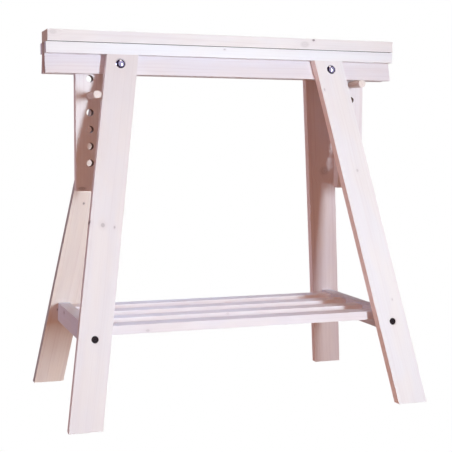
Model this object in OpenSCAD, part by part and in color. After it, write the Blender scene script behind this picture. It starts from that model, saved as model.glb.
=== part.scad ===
// Height-adjustable wooden sawhorse.
// A fixed frame of two guide boards, two wedge rails, four splayed legs and a slatted shelf
// carries a loose top: a beam on two flat uprights that slide between the guide boards.
// Two dowel pegs go through the uprights and set the height of the beam.
// Origin: centre of the footprint, on the floor. X runs along the beam, -Y is the front.

/* [Beam] */
// Length of the beam
beam_l = 747; // [720:1:900]
// Depth of the beam, front to back
beam_d = 68; // [62:1:90]
// Thickness of the beam
beam_t = 22.5; // [18:0.5:35]
// Gap between the beam's underside and the guide boards' top edges
beam_gap = 0.9; // [0.3:0.1:1.2]
// How far the loose top stands off centre, to the right
top_shift = 1.5; // [-1.5:0.5:1.5]

/* [Guide boards and rails] */
// Height of the guide boards' top edge above the floor
stand_h = 725; // [700:5:760]
// Length of the guide boards and the wedge rails
guide_l = 750; // [720:10:900]
// Depth over both guide boards
guide_d = 66; // [64:1:76]
// Height of a guide board
guide_h = 21.5; // [18:0.5:30]
// Height of a wedge rail
rail_h = 38.5; // [38:0.5:50]

/* [Uprights and pegs] */
// Width of an upright, along the beam
upright_w = 57; // [50:1:60]
// Thickness of an upright, front to back
upright_t = 20; // [18:0.5:22]
// Length of an upright below the beam
upright_l = 293; // [285:1:330]
// Distance from the middle of the beam to the middle of an upright
upright_x = 286.5; // [284:0.5:295]
// Play of an upright between its spacer blocks, to each side
slot_play = 2; // [2:0.5:4]
// Number of peg holes in each upright
hole_count = 6; // [3:1:7]
// Distance between two peg holes
hole_pitch = 33.4; // [30:0.2:34]
// Diameter of a peg hole
hole_d = 14.4; // [14.2:0.1:16]
// Diameter of a peg
peg_d = 14; // [12:0.5:14]
// Diameter of a peg's front end, which is a little thicker as a grip
peg_grip_d = 15.6; // [14:0.1:16]
// Length of a peg
peg_l = 140; // [120:5:180]
// Gap between a peg in the top hole and the underside of the rails
peg_play = 2.3; // [1.8:0.1:3]
// How far the left peg stands out in front of the middle plane
left_peg_out = 82; // [50:1:90]
// How far the right peg stands out in front of the middle plane
right_peg_out = 64; // [50:1:90]

/* [Legs] */
// Width of a leg board
leg_w = 63; // [58:1:68]
// Thickness of a leg board
leg_t = 18; // [16:0.5:20]
// Outer edge of a leg at its top, from the middle of the beam
leg_top_x = 255; // [252:1:258]
// Outer edge of a leg at the floor, from the middle of the beam
leg_foot_x = 371; // [365:1:380]
// Outer face of a leg at the floor, from the middle plane
leg_foot_y = 216; // [205:1:230]

/* [Shelf] */
// Thickness of a bearer, along the beam
bearer_t = 23.5; // [22:0.5:26]
// Height of a bearer
bearer_h = 40; // [36:1:46]
// Underside of the bearers above the floor
bearer_z = 143.5; // [138:0.5:150]
// Distance from the middle of the beam to the middle of a bearer
bearer_x = 312; // [308:1:318]
// Number of slats
slat_count = 4; // [2:1:5]
// Width of a slat
slat_w = 35; // [30:1:50]
// Thickness of a slat
slat_t = 17.5; // [16:0.5:20]
// Distance between the middles of two slats
slat_pitch = 79.4; // [55:0.2:80]
// How far the slats lie below the top of the bearers
slat_drop = 3; // [1:0.5:5]

/* [Fasteners] */
// Diameter of the carriage bolts that hold the legs
leg_bolt_d = 8; // [6:1:8]
// Diameter of their domed heads
leg_bolt_head_d = 20.5; // [16:0.5:22]
// Distance of the leg bolts from the middle of the beam
leg_bolt_x = 228.5; // [226:0.5:231]
// Distance of the leg bolts below the guide boards
leg_bolt_drop = 17.5; // [17:0.5:21]
// Diameter of the connector bolts that hold the shelf bearers
shelf_bolt_d = 6; // [5:0.5:6]
// Diameter of their flat heads
shelf_bolt_head_d = 13.5; // [12:0.5:16]
// Distance of a barrel nut from the end of its bearer
barrel_inset = 25; // [20:1:25]

/* [Hidden] */
$fn = 48;
SIDES = ["left", "right"];
CORNERS = ["front_left", "front_right", "back_left", "back_right"];
SPACERS = ["left_outer", "left_inner", "centre", "right_inner", "right_outer"];
SLATS = ["first", "second", "third", "fourth", "fifth"];

// Levels and planes of the fixed frame
rail_top = stand_h - guide_h;
rail_bottom = rail_top - rail_h;
slide_play = 0.4;
grip_gap = 2;
slot_y = upright_t / 2 + slide_play;
beam_bottom = stand_h + beam_gap;
top_hole_z = rail_bottom - peg_play - peg_d / 2;
upright_bottom = beam_bottom - upright_l;

// Lean of the legs to the front and back, and their splay along the beam
lean = atan((leg_foot_y - guide_d / 2) / rail_top);
slope_l = rail_top / cos(lean);
splay = atan((leg_foot_x - leg_top_x) / slope_l);
leg_level_w = leg_w / cos(splay);
end_waste = 25;

// Bolt, washer and nut sizes
cut = 1;
thread_play = 0.1;
hole_play = 0.3;
leg_washer_d = 2 * leg_bolt_d;
leg_washer_t = 1.6;
leg_nut_af = 1.6 * leg_bolt_d;
leg_nut_t = leg_bolt_d / 2;
leg_spot_l = 3 * leg_washer_t;
leg_bolt_head_h = 4.9;
leg_bolt_neck_l = 4;
leg_bolt_tip = 1.5;
leg_bolt_z = rail_top - leg_bolt_drop;
leg_seat = (leg_face_y(leg_bolt_z) - slot_y) / cos(lean) - (leg_washer_d / 2 + hole_play) * tan(lean);
leg_bolt_l = leg_seat + leg_washer_t + leg_nut_t + leg_bolt_tip;
shelf_bolt_z = bearer_z + bearer_h / 2;
shelf_bolt_head_t = 2.2;
shelf_bolt_socket_af = 4;
shelf_bolt_socket_l = 3.5;
shelf_bolt_tip = 8;
shelf_bolt_proud = 1.2;
shelf_seat_y = leg_face_y(shelf_bolt_z) - shelf_bolt_head_t - shelf_bolt_head_d / 2 * tan(lean)
    + shelf_bolt_proud;
barrel_d = 10;
barrel_l = 14;
barrel_y = leg_back_y(shelf_bolt_z) - barrel_inset;

// Screws and dowels
beam_screw_d = 5;
beam_screw_head_d = 8.5;
beam_screw_head_h = 2.4;
beam_screw_sunk = 0.3;
beam_screw_recess_d = 4;
beam_screw_recess_h = 1.4;
beam_screw_l = 75;
beam_screw_step = 14;
dowel_d = 8;
dowel_play = 0.05;
spacer_dowel_bite = 14;
slat_dowel_bite = 14;
slat_dowel_l = 40;
spacer_drop = 2;
spacer_z = rail_bottom + spacer_drop;
spacer_h = stand_h - spacer_drop - spacer_z;
outer_spacer_w = 28;
inner_spacer_w = 15;
centre_spacer_w = 60;
slat_top = bearer_z + bearer_h - slat_drop;
slat_z = slat_top - slat_t;
slat_l = 2 * (bearer_x - bearer_t / 2);

// Distance of a leg's outer face from the middle plane at height z
function leg_face_y(z) = guide_d / 2 + (rail_top - z) * tan(lean);
// Distance of a leg's inner face from the middle plane at height z
function leg_back_y(z) = leg_face_y(z) - leg_t / cos(lean);
// Middle of a spacer block along the beam
function spacer_x(i) =
    i == 0 || i == 4 ? (i - 2) / 2 * (upright_x + upright_w / 2 + slot_play + outer_spacer_w / 2) :
    i == 2 ? 0 : (i - 2) * (upright_x - upright_w / 2 - slot_play - inner_spacer_w / 2);
function spacer_w(i) = i == 2 ? centre_spacer_w : (i == 0 || i == 4 ? outer_spacer_w : inner_spacer_w);
function slat_y(i) = (i - (slat_count - 1) / 2) * slat_pitch;
// Level of a peg hole, counted down from the top one
function peg_hole_z(i) = top_hole_z - i * hole_pitch;
// The hole that each peg is kept in, and how far the peg stands out of it
function peg_hole(s) = s == "left" ? 1 : 0;
function peg_out(s) = s == "left" ? left_peg_out : right_peg_out;
function side_sign(s) = s == "left" ? -1 : 1;
function x_sign(c) = c == "front_left" || c == "back_left" ? -1 : 1;
function y_sign(c) = c == "front_left" || c == "front_right" ? -1 : 1;

module painted_wood() { color([0.92, 0.89, 0.90]) children(); }
module raw_wood() { color([0.80, 0.68, 0.60]) children(); }
module chromed() { color([0.80, 0.80, 0.84]) children(); }
module zinc() { color([0.62, 0.63, 0.66]) children(); }
module blackened() { color([0.12, 0.12, 0.13]) children(); }

// Corner parts are drawn at the front right and mirrored to the other corners
module at_corner(c) {
    mirror([x_sign(c) < 0 ? 1 : 0, 0, 0])
        mirror([0, y_sign(c) > 0 ? 1 : 0, 0])
            children();
}
module at_side(s) {
    mirror([side_sign(s) < 0 ? 1 : 0, 0, 0]) children();
}
// The same for the parts of the loose top, which stands a little off centre
module at_top_side(s) {
    translate([top_shift, 0, 0]) at_side(s) children();
}
// Puts +Z along the inward normal of the front leg's outer face at (x, z)
module into_leg(x, z) {
    translate([x, -leg_face_y(z), z]) rotate([-90 - lean, 0, 0]) children();
}
// Puts +Z level and pointing to the back at (x, y, z)
module level_back(x, y, z) {
    translate([x, y, z]) rotate([-90, 0, 0]) children();
}
module bar(x, y, z) {
    translate([-x / 2, -y / 2, 0]) cube([x, y, z]);
}
module hex_bar(h, flats) {
    cylinder(h = h, d = flats / cos(30), $fn = 6);
}

module beam() {
    painted_wood()
        difference() {
            translate([top_shift, 0, beam_bottom]) bar(beam_l, beam_d, beam_t);
            for (s = SIDES) for (i = [-1, 1]) at_top_side(s) beam_screw_place(i) screw_hole();
        }
}
module beam_screw_place(i) {
    translate([upright_x + i * beam_screw_step, 0, beam_bottom + beam_t]) mirror([0, 0, 1]) children();
}
module screw_hole() {
    wide = beam_screw_head_d + 2 * thread_play;
    narrow = beam_screw_d + 2 * thread_play;
    translate([0, 0, -cut]) cylinder(h = beam_screw_l + cut + hole_play, d = narrow);
    translate([0, 0, -cut]) cylinder(h = cut + beam_screw_sunk, d = wide);
    translate([0, 0, beam_screw_sunk]) cylinder(h = beam_screw_head_h, d1 = wide, d2 = narrow);
}
module beam_screw(s, i) {
    zinc()
        at_top_side(s)
            beam_screw_place(i)
                translate([0, 0, beam_screw_sunk])
                    difference() {
                        union() {
                            cylinder(h = beam_screw_l - beam_screw_sunk, d = beam_screw_d);
                            cylinder(h = beam_screw_head_h, d1 = beam_screw_head_d, d2 = beam_screw_d);
                        }
                        translate([0, 0, -cut])
                            cylinder(h = cut + beam_screw_recess_h, d = beam_screw_recess_d, $fn = 6);
                    }
}
module upright(s) {
    painted_wood()
        at_top_side(s)
            difference() {
                translate([upright_x, 0, upright_bottom]) bar(upright_w, upright_t, upright_l);
                for (i = [0 : hole_count - 1])
                    level_back(upright_x, -upright_t / 2 - cut, peg_hole_z(i))
                        cylinder(h = upright_t + 2 * cut, d = hole_d);
                for (i = [-1, 1]) beam_screw_place(i) screw_hole();
            }
}
module peg(s) {
    raw_wood()
        at_top_side(s)
            level_back(upright_x, -peg_out(s), peg_hole_z(peg_hole(s))) {
                cylinder(h = peg_l, d = peg_d);
                cylinder(h = peg_out(s) - upright_t / 2 - grip_gap, d1 = peg_grip_d, d2 = peg_d);
            }
}

module guide_board(back) {
    painted_wood()
        mirror([0, back ? 1 : 0, 0])
            difference() {
                translate([0, -(guide_d / 2 + slot_y) / 2, rail_top])
                    bar(guide_l, guide_d / 2 - slot_y, guide_h);
                for (i = [0 : len(SPACERS) - 1]) spacer_dowel_place(i) dowel_hole();
            }
}
module wedge_rail(back) {
    painted_wood()
        mirror([0, back ? 1 : 0, 0])
            difference() {
                translate([-guide_l / 2, 0, 0])
                    rotate([90, 0, 90])
                        linear_extrude(guide_l)
                            polygon([
                                [-slot_y, rail_bottom],
                                [-slot_y, rail_top],
                                [-leg_back_y(rail_top), rail_top],
                                [-leg_back_y(rail_bottom), rail_bottom]
                            ]);
                for (s = SIDES) at_side(s) into_leg(leg_bolt_x, leg_bolt_z) leg_bolt_hole();
            }
}

module spacer_dowel_place(i) {
    level_back(spacer_x(i), -slot_y - spacer_dowel_bite, rail_top + guide_h / 2) children();
}
module dowel_hole() {
    cylinder(h = 2 * (slot_y + spacer_dowel_bite), d = dowel_d + 2 * dowel_play);
}
module spacer(i) {
    raw_wood()
        difference() {
            translate([spacer_x(i), 0, spacer_z]) bar(spacer_w(i), 2 * slot_y, spacer_h);
            spacer_dowel_place(i) dowel_hole();
        }
}
module spacer_dowel(i) {
    raw_wood()
        spacer_dowel_place(i)
            translate([0, 0, hole_play])
                cylinder(h = 2 * (slot_y + spacer_dowel_bite - hole_play), d = dowel_d);
}

module leg_board() {
    intersection() {
        translate([leg_top_x, -guide_d / 2, rail_top])
            rotate([-lean, 0, 0])
                translate([0, leg_t, 0])
                    rotate([90, 0, 0])
                        linear_extrude(leg_t)
                            polygon([
                                [-end_waste * tan(splay), end_waste],
                                [(slope_l + end_waste) * tan(splay), -slope_l - end_waste],
                                [(slope_l + end_waste) * tan(splay) - leg_level_w, -slope_l - end_waste],
                                [-end_waste * tan(splay) - leg_level_w, end_waste]
                            ]);
        bar(4 * leg_foot_x, 4 * leg_foot_y, rail_top);
    }
}
module leg(c) {
    painted_wood()
        at_corner(c)
            difference() {
                leg_board();
                into_leg(leg_bolt_x, leg_bolt_z) leg_bolt_hole();
                shelf_bolt_hole();
            }
}
module leg_bolt_hole() {
    translate([0, 0, -cut]) cylinder(h = leg_bolt_l + 2 * cut, d = leg_bolt_d + 2 * hole_play);
    neck_w = leg_bolt_d + 2 * hole_play;
    translate([-neck_w / 2, -neck_w / 2, -cut])
        cube([neck_w, neck_w, leg_bolt_neck_l + hole_play + cut]);
    translate([0, 0, leg_seat]) cylinder(h = leg_spot_l, d = leg_washer_d + 2 * hole_play);
}
module leg_bolt(c) {
    ball_r = (pow(leg_bolt_head_h, 2) + pow(leg_bolt_head_d / 2, 2)) / (2 * leg_bolt_head_h);
    chromed()
        at_corner(c)
            into_leg(leg_bolt_x, leg_bolt_z) {
                cylinder(h = leg_bolt_l, d = leg_bolt_d);
                translate([-leg_bolt_d / 2, -leg_bolt_d / 2, 0])
                    cube([leg_bolt_d, leg_bolt_d, leg_bolt_neck_l]);
                intersection() {
                    translate([0, 0, ball_r - leg_bolt_head_h]) sphere(r = ball_r);
                    translate([0, 0, -leg_bolt_head_h])
                        cylinder(h = leg_bolt_head_h, d = leg_bolt_head_d + cut);
                }
            }
}
module leg_washer(c) {
    zinc()
        at_corner(c)
            into_leg(leg_bolt_x, leg_bolt_z)
                translate([0, 0, leg_seat])
                    difference() {
                        cylinder(h = leg_washer_t, d = leg_washer_d);
                        translate([0, 0, -cut])
                            cylinder(h = leg_washer_t + 2 * cut, d = leg_bolt_d + 2 * hole_play);
                    }
}
module leg_nut(c) {
    zinc()
        at_corner(c)
            into_leg(leg_bolt_x, leg_bolt_z)
                translate([0, 0, leg_seat + leg_washer_t])
                    difference() {
                        hex_bar(leg_nut_t, leg_nut_af);
                        translate([0, 0, -cut])
                            cylinder(h = leg_nut_t + 2 * cut, d = leg_bolt_d + 2 * thread_play);
                    }
}

module bearer(s) {
    painted_wood()
        at_side(s)
            difference() {
                translate([bearer_x - bearer_t / 2, 0, 0])
                    rotate([90, 0, 90])
                        linear_extrude(bearer_t)
                            polygon([
                                [-leg_back_y(bearer_z), bearer_z],
                                [leg_back_y(bearer_z), bearer_z],
                                [leg_back_y(bearer_z + bearer_h), bearer_z + bearer_h],
                                [-leg_back_y(bearer_z + bearer_h), bearer_z + bearer_h]
                            ]);
                for (back = [0, 1])
                    mirror([0, back, 0]) {
                        shelf_bolt_hole();
                        barrel_hole();
                    }
                for (i = [0 : slat_count - 1]) slat_dowel_place(i) slat_dowel_hole();
            }
}
module slat(i) {
    painted_wood()
        difference() {
            translate([0, slat_y(i), slat_z]) bar(slat_l, slat_w, slat_t);
            for (s = SIDES) at_side(s) slat_dowel_place(i) slat_dowel_hole();
        }
}
module slat_dowel_place(i) {
    translate([slat_l / 2 + slat_dowel_bite - slat_dowel_l, slat_y(i), slat_z + slat_t / 2])
        rotate([0, 90, 0])
            children();
}
module slat_dowel_hole() {
    translate([0, 0, -hole_play]) cylinder(h = slat_dowel_l + 2 * hole_play, d = dowel_d + 2 * dowel_play);
}
module slat_dowels(s) {
    raw_wood()
        at_side(s)
            for (i = [0 : slat_count - 1])
                slat_dowel_place(i) cylinder(h = slat_dowel_l, d = dowel_d);
}

module shelf_bolt_hole() {
    level_back(bearer_x, -shelf_seat_y, shelf_bolt_z) {
        cylinder(h = shelf_seat_y - barrel_y + shelf_bolt_tip + cut, d = shelf_bolt_d + 2 * hole_play);
        translate([0, 0, -leg_t]) cylinder(h = leg_t, d = shelf_bolt_head_d + 2 * hole_play);
    }
}
// The hole for a barrel nut, drilled up from the bearer's underside
module barrel_hole() {
    hole_top = shelf_bolt_z + barrel_l / 2 + hole_play;
    translate([bearer_x, -barrel_y, bearer_z - cut])
        cylinder(h = hole_top - bearer_z + cut, d = barrel_d + 2 * thread_play);
}
module shelf_bolt(c) {
    blackened()
        at_corner(c)
            level_back(bearer_x, -shelf_seat_y, shelf_bolt_z)
                difference() {
                    union() {
                        translate([0, 0, -shelf_bolt_head_t])
                            cylinder(h = shelf_bolt_head_t, d = shelf_bolt_head_d);
                        cylinder(h = shelf_seat_y - barrel_y + shelf_bolt_tip, d = shelf_bolt_d);
                    }
                    translate([0, 0, -shelf_bolt_head_t - cut])
                        hex_bar(shelf_bolt_socket_l + cut, shelf_bolt_socket_af);
                }
}
module barrel_nut(c) {
    zinc()
        at_corner(c)
            difference() {
                translate([bearer_x, -barrel_y, shelf_bolt_z - barrel_l / 2])
                    cylinder(h = barrel_l, d = barrel_d);
                level_back(bearer_x, -barrel_y - barrel_d, shelf_bolt_z)
                    cylinder(h = 2 * barrel_d, d = shelf_bolt_d + 2 * thread_play);
            }
}

beam();
for (s = SIDES) {
    upright(s);
    peg(s);
    beam_screw(s, 1);
    beam_screw(s, -1);
    bearer(s);
    slat_dowels(s);
}
guide_board(false);  // front_guide_board
guide_board(true);  // back_guide_board
wedge_rail(false);  // front_wedge_rail
wedge_rail(true);  // back_wedge_rail
for (i = [0 : len(SPACERS) - 1]) {
    spacer(i);
    spacer_dowel(i);
}
for (c = CORNERS) {
    leg(c);
    leg_bolt(c);
    leg_washer(c);
    leg_nut(c);
    shelf_bolt(c);
    barrel_nut(c);
}
for (i = [0 : slat_count - 1]) {
    slat(i);
}
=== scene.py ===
import math
from collections import namedtuple

import bpy
from mathutils import Matrix, Vector


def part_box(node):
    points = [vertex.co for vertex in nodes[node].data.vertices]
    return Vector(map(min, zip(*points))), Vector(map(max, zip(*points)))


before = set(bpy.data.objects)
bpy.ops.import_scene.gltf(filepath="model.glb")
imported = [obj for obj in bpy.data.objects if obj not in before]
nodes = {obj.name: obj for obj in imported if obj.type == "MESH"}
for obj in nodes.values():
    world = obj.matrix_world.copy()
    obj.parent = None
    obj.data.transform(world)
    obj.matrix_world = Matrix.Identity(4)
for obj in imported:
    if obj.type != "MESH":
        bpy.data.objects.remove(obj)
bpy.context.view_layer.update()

SIDES = ("left", "right")
CORNERS = ("front_left", "front_right", "back_left", "back_right")
SPACERS = ("left_outer", "left_inner", "centre", "right_inner", "right_outer")
SLATS = ("first", "second", "third", "fourth")
RIGHT, FRONT, BACK, UP, DOWN = (1, 0, 0), (0, -1, 0), (0, 1, 0), (0, 0, 1), (0, 0, -1)

# A knot's place along and across its board, its radius, how dark it is and how much longer than wide
Knot = namedtuple("Knot", "along across size dark stretch", defaults=(1.6,))

# ---------------------------------------------------------------- node helpers
# Sockets that are reached by number
TEXCOORD_NORMAL, TEXCOORD_OBJECT = 1, 3
VECTOR_MATH_VALUE = 1
MIX_FACTOR, MIX_A, MIX_B, MIX_RESULT = 0, 6, 7, 2


class Tree:
    """A short way to build a material's node tree."""

    def __init__(self, name):
        self.material = bpy.data.materials.new(name)
        self.material.use_nodes = True
        self.nodes = self.material.node_tree.nodes
        self.links = self.material.node_tree.links
        self.shader = self.nodes["Principled BSDF"]

    def set(self, socket, value):
        if isinstance(value, bpy.types.NodeSocket):
            self.links.new(value, socket)
        elif isinstance(value, (tuple, list, Vector)) and len(value) == 3 and socket.type == "RGBA":
            socket.default_value = (*value, 1)
        else:
            socket.default_value = value

    def node(self, kind, output=0, settings=None, **inputs):
        made = self.nodes.new("ShaderNode" + kind)
        for key, value in (settings or {}).items():
            setattr(made, key, value)
        for key, value in inputs.items():
            self.set(made.inputs[int(key[1:]) if key[1:].isdigit() else key.replace("_", " ")], value)
        return made.outputs[output]

    def math(self, operation, a, b=0.0):
        return self.node("Math", settings={"operation": operation}, i0=a, i1=b)

    def times(self, a, b):
        return self.math("MULTIPLY", a, b)

    def plus(self, a, b):
        return self.math("ADD", a, b)

    def size(self, a):
        return self.math("ABSOLUTE", a)

    def point(self, x, y, z):
        return self.node("CombineXYZ", X=x, Y=y, Z=z)

    def split(self, vector):
        made = self.nodes.new("ShaderNodeSeparateXYZ")
        self.links.new(vector, made.inputs[0])
        return made.outputs

    def turned(self, vector, rotation):
        return self.node("VectorRotate", settings={"rotation_type": "EULER_XYZ"},
                         Vector=vector, Rotation=rotation)

    def length(self, a):
        return self.node("VectorMath", output=VECTOR_MATH_VALUE, settings={"operation": "LENGTH"}, i0=a)

    def ramp(self, value, low, high, to_low=0.0, to_high=1.0):
        made = self.nodes.new("ShaderNodeMapRange")
        made.interpolation_type = "SMOOTHSTEP"
        for key, setting in enumerate((value, low, high, to_low, to_high)):
            self.set(made.inputs[key], setting)
        return made.outputs[0]

    def mix(self, factor, a, b):
        made = self.nodes.new("ShaderNodeMix")
        made.data_type = "RGBA"
        self.set(made.inputs[MIX_FACTOR], factor)
        self.set(made.inputs[MIX_A], a)
        self.set(made.inputs[MIX_B], b)
        return made.outputs[MIX_RESULT]

    def noise(self, vector, scale, detail=2.0, roughness=0.5):
        return self.node("TexNoise", Vector=vector, Scale=scale, Detail=detail, Roughness=roughness)


# ---------------------------------------------------------------- wood
# Tones that are colours of their own
KNOT_TONE = (0.115, 0.070, 0.085)
# Painted shade: near black for a face that lies in the gap against another board
SEAM_SHADE = (0.05, 0.05, 0.045)
# Tones that multiply the glaze
WARMER, COOLER = (1.012, 1.0, 0.985), (0.988, 0.995, 1.012)
LINE_TONE = (0.80, 0.72, 0.74)
HALO_TONE = (0.84, 0.78, 0.80)
# Painted shade for the walls inside the bores
BORE_SHADE_TONE = (0.30, 0.22, 0.17)
# Tones that multiply the glaze of an end
END_PALE, END_LINE_TONE = (1.12, 1.12, 1.12), (0.80, 0.76, 0.74)
END_DARKER = (0.68, 0.63, 0.56)

# How far a surface has to face a way before it starts to count as facing it, and before it wholly does
FACES_ALONG, FACES_ACROSS, FACES_OUT, FACES_SEAM = (0.72, 0.95), (0.60, 0.90), (0.4, 0.8), (0.35, 0.75)

# Where a knot's halo and body end, in radii of the knot, and the rings inside it
HALO_EDGE, BODY_EDGE = (0.9, 2.6), (0.55, 1.05)
KNOT_RINGS_PER_RADIUS, KNOT_RING_DEPTH = 2.6, 0.2
KNOT_FADE = 0.006
HALO_STRENGTH = 0.35

# Features per metre along the grain and across it
SWAY_SCALE, FIBRE_SCALE, CLOUD_SCALE, HUE_SCALE = (2.4, 9.0), (24.0, 1100.0), (6.0, 42.0), (9.0, 26.0)
RING_SCALE = (1.4, 330.0)
PORE_SCALE = 700.0
# Multiples of a board's seed that keep its own patterns unlike each other
SWAY_SEED, CLOUD_SEED, HUE_SEED = 7.3, 3.1, 5.7
# The stretch of each noise over which its effect goes from none to full
RING_CUT, FIBRE_CUT, CLOUD_CUT = (0.47, 0.74), (0.45, 0.75), (0.38, 0.72)
HUE_CUT, PORE_CUT = (0.35, 0.65), (0.35, 0.65)
GLOSS_CUT = (0.3, 0.7)
PITH_ACROSS, PITH_DEPTH = 0.075, 0.045
RING_SWAY = 0.016
RING_SHARE, FIBRE_SHARE, CLOUD_SHARE = 0.55, 0.30, 0.35
END_RING_SHARE, END_PORE_SHARE = 0.45, 0.3

WOOD_ROUGHNESS, END_ROUGHER = (0.48, 0.58), 0.2
WOOD_SPECULAR = 0.32
WOOD_BUMP, WOOD_BUMP_DEPTH = 0.25, 0.0003
FIBRE_RISE, RING_RISE = 0.6, -0.4
BORE_EDGE = 0.001


def shaded(colour, by):
    return tuple(c * b for c, b in zip(colour, by))


def board_turn(along, face):
    """A rotation that takes a board's length to X and its face normal to near Z."""
    x = Vector(along).normalized()
    z = Vector(face)
    z = (z - x * z.dot(x)).normalized()
    return Matrix((x, z.cross(x), z)).to_euler()


def knot_layers(t, run, across, knots):
    """Masks for all of a board's knots: the dark body, the halo round it, and how far it bends the grain."""
    dark, halo, bend = 0.0, 0.0, 0.0
    for knot in knots:
        aside = t.math("SUBTRACT", across, knot.across)
        off = t.times(t.math("SUBTRACT", run, knot.along), 1 / knot.stretch)
        far = t.length(t.point(off, aside, 0.0))
        around = t.ramp(far, *(knot.size * edge for edge in HALO_EDGE), 1.0, 0.0)
        body = t.ramp(far, *(knot.size * edge for edge in BODY_EDGE), knot.dark, 0.0)
        rings = t.math("SINE", t.times(far, KNOT_RINGS_PER_RADIUS * math.tau / knot.size))
        ringed = t.plus(t.times(rings, KNOT_RING_DEPTH), 1 - KNOT_RING_DEPTH)
        dark = t.math("MAXIMUM", t.times(body, ringed), dark)
        halo = t.math("MAXIMUM", t.times(around, min(1.0, 2 * knot.dark)), halo)
        bend = t.plus(bend, t.times(t.times(around, knot.size), t.math("SIGN", aside)))
    return dark, halo, bend


def wood(name, tint, along=RIGHT, face=FRONT, origin=(0, 0, 0), seed=0.0, grain=0.35, knots=(),
         end=END_DARKER, side=None, seam=None, bores=None, knot_depth=None):
    """Glazed softwood, in the board's own directions.

    tint is the glazed face, and end is what its ends are multiplied by. side is what its narrow faces are
    multiplied by, as painted light and shade on them. along and face are the board's length and its face normal.
    origin is where its knots are measured from, in metres, and knot_depth is the height over origin, towards the
    face, where they start to show. seed gives the board a pattern of its own, and grain is how strong that is.
    seam is the direction of the face that lies on another board, which is painted near black as the shade in the
    gap between them. bores is how far across and along the board its bores reach, whose walls are painted dark as
    the shade inside the holes.
    """
    t = Tree(name)
    turn = board_turn(along, face)
    place = t.node("VectorMath", settings={"operation": "SUBTRACT"},
                   i0=t.node("TexCoord", output=TEXCOORD_OBJECT), i1=origin)
    run, across, deep = t.split(t.turned(place, turn))
    faces_along, faces_across, faces_out = t.split(t.turned(t.node("TexCoord", output=TEXCOORD_NORMAL), turn))
    end_mask = t.ramp(t.size(faces_along), *FACES_ALONG)

    def streaks(scale, shift, detail=2.0, roughness=0.5):
        """Noise that is drawn out along the grain."""
        spot = t.point(t.times(run, scale[0]), t.times(across, scale[1]),
                       t.plus(t.times(deep, scale[1]), shift))
        return t.noise(spot, 1.0, detail, roughness)

    dark, halo, bend = knot_layers(t, run, across, knots)
    if knot_depth is not None:
        shown = t.ramp(deep, knot_depth, knot_depth + KNOT_FADE)
        dark, halo = t.times(dark, shown), t.times(halo, shown)

    # Growth rings round a pith beside the board: long lines on its faces, arcs on its ends
    sway = streaks(SWAY_SCALE, seed * SWAY_SEED)
    ring_r = t.length(t.point(t.math("SUBTRACT", across, PITH_ACROSS), t.plus(deep, PITH_DEPTH), 0.0))
    ring_at = t.plus(t.plus(ring_r, bend), t.times(sway, RING_SWAY))
    ring_noise = t.noise(t.point(t.times(run, RING_SCALE[0]), t.times(ring_at, RING_SCALE[1]), seed),
                         1.0, 1.5)
    rings = t.ramp(ring_noise, *RING_CUT)
    # Fine fibres, much longer than they are wide
    fibre = streaks(FIBRE_SCALE, seed, 3.0, 0.6)
    # The glaze lies thicker in some places than in others, and is a little warmer or cooler
    cloud = streaks(CLOUD_SCALE, seed * CLOUD_SEED, 3.0)
    hue = streaks(HUE_SCALE, seed * HUE_SEED)
    line = t.plus(t.plus(t.times(rings, RING_SHARE), t.times(t.ramp(fibre, *FIBRE_CUT), FIBRE_SHARE)),
                  t.times(t.ramp(cloud, *CLOUD_CUT), CLOUD_SHARE))
    line = t.times(line, grain)

    colour = t.mix(t.ramp(hue, *HUE_CUT), shaded(tint, WARMER), shaded(tint, COOLER))
    colour = t.mix(t.math("MINIMUM", line, 1.0), colour, shaded(tint, LINE_TONE))
    pore_noise = t.noise(t.point(t.times(across, PORE_SCALE), t.times(deep, PORE_SCALE), seed), 1.0)
    end_line = t.plus(t.times(rings, END_RING_SHARE),
                      t.times(t.ramp(pore_noise, *PORE_CUT), END_PORE_SHARE))
    end_colour = t.mix(end_line, shaded(tint, shaded(end, END_PALE)),
                       shaded(tint, shaded(end, END_LINE_TONE)))
    colour = t.mix(end_mask, colour, end_colour)
    # The narrow faces are multiplied by side, to paint light and shade on them
    if side:
        colour = t.mix(t.ramp(t.size(faces_across), *FACES_ACROSS), colour, shaded(tint, side))
    # A face that lies on another board is painted near black, as the shade in the gap between them
    if seam:
        facing = t.node("VectorMath", output=VECTOR_MATH_VALUE, settings={"operation": "DOT_PRODUCT"},
                        i0=t.node("TexCoord", output=TEXCOORD_NORMAL), i1=seam)
        colour = t.mix(t.ramp(facing, *FACES_SEAM), colour, SEAM_SHADE)
    # The walls inside the bores are painted dark, as the shade in the holes
    if bores:
        inside = t.math("SUBTRACT", 1.0, t.ramp(t.size(faces_out), *FACES_OUT))
        for value, reach in zip((across, run), bores):
            inside = t.times(inside, t.ramp(t.size(value), reach, reach + BORE_EDGE, 1.0, 0.0))
        colour = t.mix(inside, colour, shaded(tint, BORE_SHADE_TONE))
    if knots:
        colour = t.mix(t.times(halo, HALO_STRENGTH), colour, shaded(tint, HALO_TONE))
        colour = t.mix(dark, colour, KNOT_TONE)
    t.links.new(colour, t.shader.inputs["Base Color"])
    roughness = t.plus(t.ramp(cloud, *GLOSS_CUT, *WOOD_ROUGHNESS), t.times(end_mask, END_ROUGHER))
    t.links.new(roughness, t.shader.inputs["Roughness"])
    t.shader.inputs["Specular IOR Level"].default_value = WOOD_SPECULAR
    height = t.plus(t.times(fibre, FIBRE_RISE), t.times(rings, RING_RISE))
    t.links.new(t.node("Bump", Strength=WOOD_BUMP, Distance=WOOD_BUMP_DEPTH, Height=height),
                t.shader.inputs["Normal"])
    return t.material


# ---------------------------------------------------------------- metal
FINE_SCALE, STAIN_SCALE = 1400.0, 160.0
STAIN_TONE, STAIN_CUT = (0.82, 0.80, 0.80), (0.35, 0.7)
ROUGHEST = 1.4
METAL_BUMP, METAL_BUMP_DEPTH = 0.1, 0.0001


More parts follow.
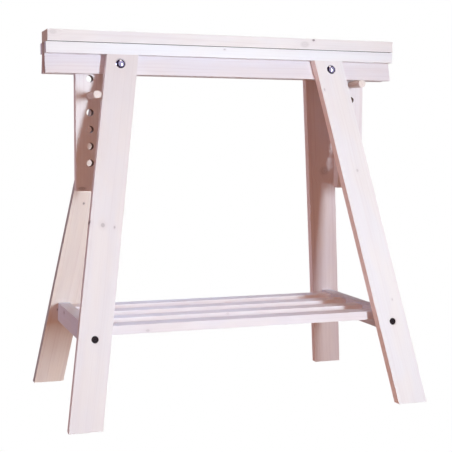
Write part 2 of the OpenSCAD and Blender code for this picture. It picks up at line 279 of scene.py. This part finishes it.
def metal(name, colour, roughness, metallic=1.0, level=0.5):
    """Stained metal: roughness is its smoothest, and level its specular level."""
    t = Tree(name)
    place = t.node("TexCoord", output=TEXCOORD_OBJECT)
    fine = t.noise(place, FINE_SCALE, 3.0, 0.6)
    stain = t.noise(place, STAIN_SCALE)
    stained = t.mix(t.ramp(stain, *STAIN_CUT), colour, shaded(colour, STAIN_TONE))
    t.links.new(stained, t.shader.inputs["Base Color"])
    t.shader.inputs["Metallic"].default_value = metallic
    t.shader.inputs["Specular IOR Level"].default_value = level
    t.links.new(t.ramp(fine, *GLOSS_CUT, roughness, roughness * ROUGHEST), t.shader.inputs["Roughness"])
    t.links.new(t.node("Bump", Strength=METAL_BUMP, Distance=METAL_BUMP_DEPTH, Height=fine),
                t.shader.inputs["Normal"])
    return t.material


# ---------------------------------------------------------------- dressing the CAD nodes
WELD_REACH = 0.00001
SHARP_ANGLE = math.radians(38)
EDGE_SEGMENTS = 2
FACE_WEIGHT = 100
END_SLICE = 0.001
BOARD_EDGE, PEG_EDGE, BOLT_EDGE = 0.0012, 0.0008, 0.0005


def dress(name, material):
    node = nodes[name]
    node.data.materials.clear()
    node.data.materials.append(material)


def soften(name, radius):
    """Breaks the sharp edges of a CAD node, as sanding does."""
    node = nodes[name]
    weld = node.modifiers.new("weld", "WELD")
    weld.merge_threshold = WELD_REACH
    bevel = node.modifiers.new("edges", "BEVEL")
    bevel.width = radius
    bevel.segments = EDGE_SEGMENTS
    bevel.limit_method = "ANGLE"
    bevel.angle_limit = SHARP_ANGLE
    bevel.use_clamp_overlap = True
    normals = node.modifiers.new("normals", "WEIGHTED_NORMAL")
    normals.mode = "FACE_AREA"
    normals.weight = FACE_WEIGHT
    normals.keep_sharp = True
    for face in node.data.polygons:
        face.use_smooth = True


def middle(name):
    low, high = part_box(name)
    return (low + high) / 2


def leg_axis(name):
    """The direction of a leg's length, and the middle of its foot."""
    low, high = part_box(name)
    points = [v.co for v in nodes[name].data.vertices]
    foot = [p for p in points if p.z < low.z + END_SLICE]
    head = [p for p in points if p.z > high.z - END_SLICE]
    centres = [sum(side, Vector()) / len(side) for side in (foot, head)]
    return centres[1] - centres[0], centres[0]


def board(name, tint, edge=BOARD_EDGE, origin=None, **more):
    dress(name, wood(name + "_wood", tint, origin=middle(name) if origin is None else origin, **more))
    soften(name, edge)


# The white glaze as it came out on each kind of board, with painted light and shade in some, as noted below
BEAM_GLAZE = (0.825, 0.795, 0.815)
GUIDE_GLAZE, GUIDE_END = (0.865, 0.875, 0.925), (0.64, 0.66, 0.74)
RAIL_GLAZE, RAIL_END = (0.82, 0.775, 0.82), (0.58, 0.58, 0.68)
UPRIGHT_GLAZE = (0.85, 0.80, 0.82)
BEARER_GLAZE = (0.73, 0.75, 0.85)
# The pegs' ends are painted lighter and cooler than their sides, a painted highlight on the ends that face the
# lamp
PEG_GLAZE, PEG_END_HIGHLIGHT = (0.68, 0.59, 0.55), (1.12, 1.17, 1.22)
# The slats' tops are painted darker than their fronts as painted shade, and the inner slats are painted lighter,
# as painted light on fronts that the slat in front partly shades
FIRST_SLAT_GLAZE, FIRST_SLAT_TOP_SHADE = (0.855, 0.81, 0.85), (0.93, 0.91, 0.91)
INNER_SLAT_GLAZE_AND_LIGHT, INNER_SLAT_TOP_SHADE = (0.97, 0.93, 0.965), (0.87, 0.85, 0.85)
# Each leg's glaze is partly its own tone and partly painted shade: the back right is darker, and the front left a
# little darker than the front right, where they stand in less light
LEG_GLAZE_AND_SHADE = {"front_left": (0.772, 0.72, 0.735), "front_right": (0.845, 0.82, 0.845),
              "back_left": (0.87, 0.775, 0.72), "back_right": (0.79, 0.685, 0.69)}
# Painted shade and light on the legs' narrow faces: the back left's are darker, the front right's and back
# right's lighter
LEG_SIDE_SHADING = {"back_left": (0.60, 0.68, 0.76), "front_right": (1.22, 1.10, 1.02),
             "back_right": (1.15, 1.18, 1.18)}
BARE_PINE = (0.70, 0.52, 0.37)
# Darker and greyer pine, for the outer spacers
OUTER_SPACER_DARK = (0.42, 0.36, 0.40)

# How strong the grain is
GUIDE_GRAIN, UPRIGHT_GRAIN, BARE_GRAIN = 0.25, 0.55, 0.8
FRONT_LEG_GRAIN, BACK_LEG_GRAIN = 0.30, 0.65

# The knots and marks that stand out
BEAM_KNOTS = (Knot(0.1865, 0.0085, 0.0028, 0.90, 1.3), Knot(0.1665, -0.001, 0.0080, 0.16, 1.5),
              Knot(-0.363, 0.006, 0.0055, 0.14))
GUIDE_KNOT = Knot(-0.010, 0.006, 0.0018, 0.35)
LEG_KNOTS = {"front_left": (Knot(0.387, 0.0065, 0.0048, 0.40, 1.1), Knot(0.386, -0.0165, 0.0020, 0.45),
                            Knot(0.390, 0.0335, 0.0035, 0.90, 1.6)),
             "front_right": (Knot(0.674, 0.025, 0.0022, 0.30), Knot(0.492, -0.0045, 0.0025, 0.28),
                             Knot(0.213, -0.011, 0.0020, 0.25)),
             "back_left": (Knot(0.421, -0.006, 0.0026, 0.80, 1.2), Knot(0.176, -0.0145, 0.0018, 0.60, 1.6)),
             "back_right": (Knot(0.490, 0.006, 0.014, 0.22, 0.9),)}
# A soft dark patch low on the left upright, near its foot
UPRIGHT_DARK_PATCH = Knot(-0.1415, 0.017, 0.010, 0.45, 0.4)
BEARER_MARK = Knot(0.083, 0.0095, 0.0045, 0.85, 1.0)
SLAT_KNOTS = {"first": (Knot(-0.201, -0.004, 0.0030, 0.22),), "second": (Knot(-0.009, 0.006, 0.0028, 0.13),)}

BEAM_KNOT_DEPTH = 0.022
BORE_REACH, BORE_END_GAP = 0.009, 0.004
LEG_FACE_RISE = 0.26

board("beam", BEAM_GLAZE, seed=1.0, seam=DOWN, knots=BEAM_KNOTS, knot_depth=BEAM_KNOT_DEPTH)
board("front_guide_board", GUIDE_GLAZE, seed=2.0, grain=GUIDE_GRAIN, seam=UP, end=GUIDE_END,
      knots=(GUIDE_KNOT,))
board("back_guide_board", GUIDE_GLAZE, seed=3.0, grain=GUIDE_GRAIN, seam=UP, end=GUIDE_END)
board("front_wedge_rail", RAIL_GLAZE, seed=4.0, end=RAIL_END)
board("back_wedge_rail", RAIL_GLAZE, seed=5.0, end=RAIL_END)
for i, corner in enumerate(CORNERS):
    length, foot = leg_axis(corner + "_leg")
    is_front = corner.startswith("front")
    board(corner + "_leg", LEG_GLAZE_AND_SHADE[corner], along=length, face=(0, -1 if is_front else 1, LEG_FACE_RISE),
          origin=foot, seed=6.0 + i, grain=FRONT_LEG_GRAIN if is_front else BACK_LEG_GRAIN,
          knots=LEG_KNOTS[corner], side=LEG_SIDE_SHADING.get(corner))
for i, side in enumerate(SIDES):
    is_left = side == "left"
    low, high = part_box(side + "_upright")
    board(side + "_upright", UPRIGHT_GLAZE, along=UP, seed=11.0 + i, grain=UPRIGHT_GRAIN,
          bores=(BORE_REACH, (high.z - low.z) / 2 - BORE_END_GAP), knots=(UPRIGHT_DARK_PATCH,) if is_left else ())
    board(side + "_bearer", BEARER_GLAZE, along=BACK, face=RIGHT, seed=14.0 + i,
          knots=(BEARER_MARK,) if is_left else ())
    board(side + "_peg", PEG_GLAZE, along=BACK, face=UP, seed=17.0 + i, edge=PEG_EDGE, end=PEG_END_HIGHLIGHT)
    dress(side + "_slat_dowels", wood(side + "_slat_dowels_wood", BARE_PINE, seed=40.0 + i, grain=BARE_GRAIN))
for i, name in enumerate(SLATS):
    is_first = name == "first"
    board(name + "_slat", FIRST_SLAT_GLAZE if is_first else INNER_SLAT_GLAZE_AND_LIGHT, seed=20.0 + i,
          knots=SLAT_KNOTS.get(name, ()), side=FIRST_SLAT_TOP_SHADE if is_first else INNER_SLAT_TOP_SHADE)
for i, name in enumerate(SPACERS):
    board(name + "_spacer", OUTER_SPACER_DARK if "outer" in name else BARE_PINE, along=UP, seed=30.0 + i,
          grain=BARE_GRAIN)
    dress(name + "_spacer_dowel",
          wood(name + "_spacer_dowel_wood", BARE_PINE, along=BACK, seed=50.0 + i, grain=BARE_GRAIN))

chrome = metal("bright_plating", (0.80, 0.79, 0.86), roughness=0.07)
zinc = metal("dull_zinc", (0.55, 0.56, 0.58), roughness=0.38)
black = metal("blackened_steel", (0.026, 0.015, 0.018), roughness=0.45, metallic=0.0, level=0.15)
for corner in CORNERS:
    dress(corner + "_leg_bolt", chrome)
    dress(corner + "_leg_washer", zinc)
    dress(corner + "_leg_nut", zinc)
    dress(corner + "_shelf_bolt", black)
    dress(corner + "_barrel_nut", zinc)
    soften(corner + "_shelf_bolt", BOLT_EDGE)
for side in SIDES:
    for place in ("outer", "inner"):
        dress(f"{side}_{place}_beam_screw", zinc)

# ---------------------------------------------------------------- floor and backdrop
STAGE_R = 14.0
AROUND, UPWARD = 48, 12
# How far the floor reaches past the backdrop's foot and lies below the feet, and how many rows the foot is sunk
FLOOR_REACH, FLOOR_DROP, FOOT_SUNK = 1.02, 0.0005, 0.1


def stage_piece(name, points, faces):
    """A plain white surface that lights nothing and takes no shadow, so it stays even and pale."""
    t = Tree(name)
    t.shader.inputs["Base Color"].default_value = (0, 0, 0, 1)
    t.shader.inputs["Roughness"].default_value = 1.0
    t.shader.inputs["Specular IOR Level"].default_value = 0.0
    t.shader.inputs["Emission Color"].default_value = (1, 1, 1, 1)
    t.shader.inputs["Emission Strength"].default_value = 1.0
    mesh = bpy.data.meshes.new(name)
    mesh.from_pydata(points, [], faces)
    mesh.materials.append(t.material)
    made = bpy.data.objects.new(name, mesh)
    made.visible_diffuse = False
    made.visible_glossy = False
    made.visible_shadow = False
    bpy.context.scene.collection.objects.link(made)


def turn_point(radius, part, height):
    return radius * math.cos(math.tau * part), radius * math.sin(math.tau * part), height


def dome_point(row, column):
    return turn_point(STAGE_R * math.cos(math.pi / 2 * row / UPWARD), column / AROUND,
                      STAGE_R * math.sin(math.pi / 2 * (row - FOOT_SUNK) / UPWARD))


def dome_index(row, column):
    return row * AROUND + column % AROUND


stage_piece("floor", [turn_point(FLOOR_REACH * STAGE_R, a / AROUND, -FLOOR_DROP) for a in range(AROUND)],
            [tuple(range(AROUND))])
stage_piece("backdrop", [dome_point(r, a) for r in range(UPWARD) for a in range(AROUND)],
            [(dome_index(r, a), dome_index(r, a + 1), dome_index(r + 1, a + 1), dome_index(r + 1, a))
             for r in range(UPWARD - 1) for a in range(AROUND)])

# ---------------------------------------------------------------- light
AIM = (0, 0, 0.37)
# The near key light is aimed past the object's left, so that it doesn't fade from right to left
KEY_AIM, KEY_SPREAD = (-1.12, 0, 0.37), 140


def softbox(name, place, size, watts, colour, aim=AIM, spread=180):
    """A rectangular light, size wide and high, turned to aim, with its spread in degrees."""
    light = bpy.data.lights.new(name, "AREA")
    light.shape = "RECTANGLE"
    light.size, light.size_y = size
    light.energy = watts
    light.color = colour
    light.spread = math.radians(spread)
    made = bpy.data.objects.new(name, light)
    made.location = place
    made.rotation_euler = (Vector(aim) - Vector(place)).to_track_quat("-Z", "Y").to_euler()
    bpy.context.scene.collection.objects.link(made)


softbox("key", (0.59, -2.03, 0.66), (0.27, 0.82), 26.0, (0.845, 1.035, 1.14), KEY_AIM, KEY_SPREAD)
softbox("overhead", (0, -0.6, 2.4), (0.8, 0.8), 2.7, (1.14, 1.03, 0.83))
softbox("left_fill", (-3.9, -0.3, 0.8), (1.8, 1.8), 32, (0.88, 0.91, 1.21))
softbox("back_fill", (0.5, 3.5, 1.5), (2.2, 2.2), 40, (0.65, 0.96, 1.39))

# Warm weak light from all round. Reflections see a pale screen in front and a dark room elsewhere
ROOM_GLOW = (0.355, 0.170, 0.095, 1)
MIRRORED_ROOM, MIRRORED_SCREEN = (0.035, 0.024, 0.045, 1), (0.52, 0.48, 0.70, 1)
SCREEN_TOWARD = (0.28, -0.94, 0.20)
SCREEN_EDGE = (0.52, 0.74)

world = bpy.data.worlds.new("studio")
world.use_nodes = True
room = world.node_tree
toward = room.nodes.new("ShaderNodeVectorMath")
toward.operation = "DOT_PRODUCT"
toward.inputs[1].default_value = SCREEN_TOWARD
room.links.new(room.nodes.new("ShaderNodeTexCoord").outputs["Generated"], toward.inputs[0])
screen = room.nodes.new("ShaderNodeMapRange")
screen.interpolation_type = "SMOOTHSTEP"
screen.inputs["From Min"].default_value, screen.inputs["From Max"].default_value = SCREEN_EDGE
room.links.new(toward.outputs["Value"], screen.inputs["Value"])
mirrored = room.nodes.new("ShaderNodeMix")
mirrored.data_type = "RGBA"
mirrored.inputs[MIX_A].default_value = MIRRORED_ROOM
mirrored.inputs[MIX_B].default_value = MIRRORED_SCREEN
room.links.new(screen.outputs[0], mirrored.inputs[MIX_FACTOR])
chosen = room.nodes.new("ShaderNodeMix")
chosen.data_type = "RGBA"
chosen.inputs[MIX_A].default_value = ROOM_GLOW
room.links.new(room.nodes.new("ShaderNodeLightPath").outputs["Is Glossy Ray"], chosen.inputs[MIX_FACTOR])
room.links.new(mirrored.outputs[MIX_RESULT], chosen.inputs[MIX_B])
room.links.new(chosen.outputs[MIX_RESULT], room.nodes["Background"].inputs["Color"])
bpy.context.scene.world = world

# ---------------------------------------------------------------- camera
CAMERA_AT = Vector((-0.7022, -2.0293, 0.5435))
CAMERA_YAW, CAMERA_PITCH, CAMERA_ROLL = (math.radians(v) for v in (19.247, -5.028, 0.274))
SENSOR_WIDTH, FOCAL_LENGTH = 36.0, 81.329

forward = Vector((math.sin(CAMERA_YAW) * math.cos(CAMERA_PITCH),
                  math.cos(CAMERA_YAW) * math.cos(CAMERA_PITCH), math.sin(CAMERA_PITCH)))
right = Vector((math.cos(CAMERA_YAW), -math.sin(CAMERA_YAW), 0))
up = right.cross(forward)
tilted_right = right * math.cos(CAMERA_ROLL) + up * math.sin(CAMERA_ROLL)
tilted_up = up * math.cos(CAMERA_ROLL) - right * math.sin(CAMERA_ROLL)
camera_data = bpy.data.cameras.new("camera")
camera_data.sensor_width = SENSOR_WIDTH
camera_data.lens = FOCAL_LENGTH
camera = bpy.data.objects.new("camera", camera_data)
camera.matrix_world = Matrix((tilted_right, tilted_up, -forward)).transposed().to_4x4()
camera.location = CAMERA_AT
bpy.context.scene.collection.objects.link(camera)
bpy.context.scene.camera = camera
bpy.context.scene.view_settings.view_transform = "Standard"
